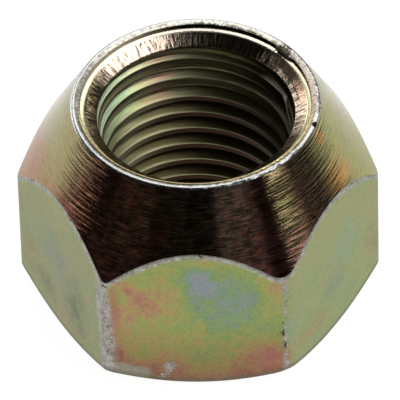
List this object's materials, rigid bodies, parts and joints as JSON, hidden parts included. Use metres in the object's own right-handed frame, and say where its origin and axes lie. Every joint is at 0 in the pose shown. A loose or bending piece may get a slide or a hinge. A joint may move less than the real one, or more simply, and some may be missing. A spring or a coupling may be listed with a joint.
{
  "type": "wheel nut",
  "caption": "Open-ended hexagonal wheel nut with a 60 degree conical seat, a thin rim, a countersunk threaded bore and a chamfered flat base.",
  "frame": {"origin": "centre of the flat base face, on the nut's axis", "axes": "+Z along the thread's axis, out of the conical seat end; the hexagon's corners lie on X and one flat faces -Y"},
  "size_m": [0.025, 0.0218, 0.0165],
  "materials": {
    "zinc_plated_steel": "yellow chromated zinc plating, satin on the forged flats, turned and smoother on the conical seat"
  },
  "bodies": {
    "root": {"wheel_nut": "zinc_plated_steel"}
  },
  "joints": []
}
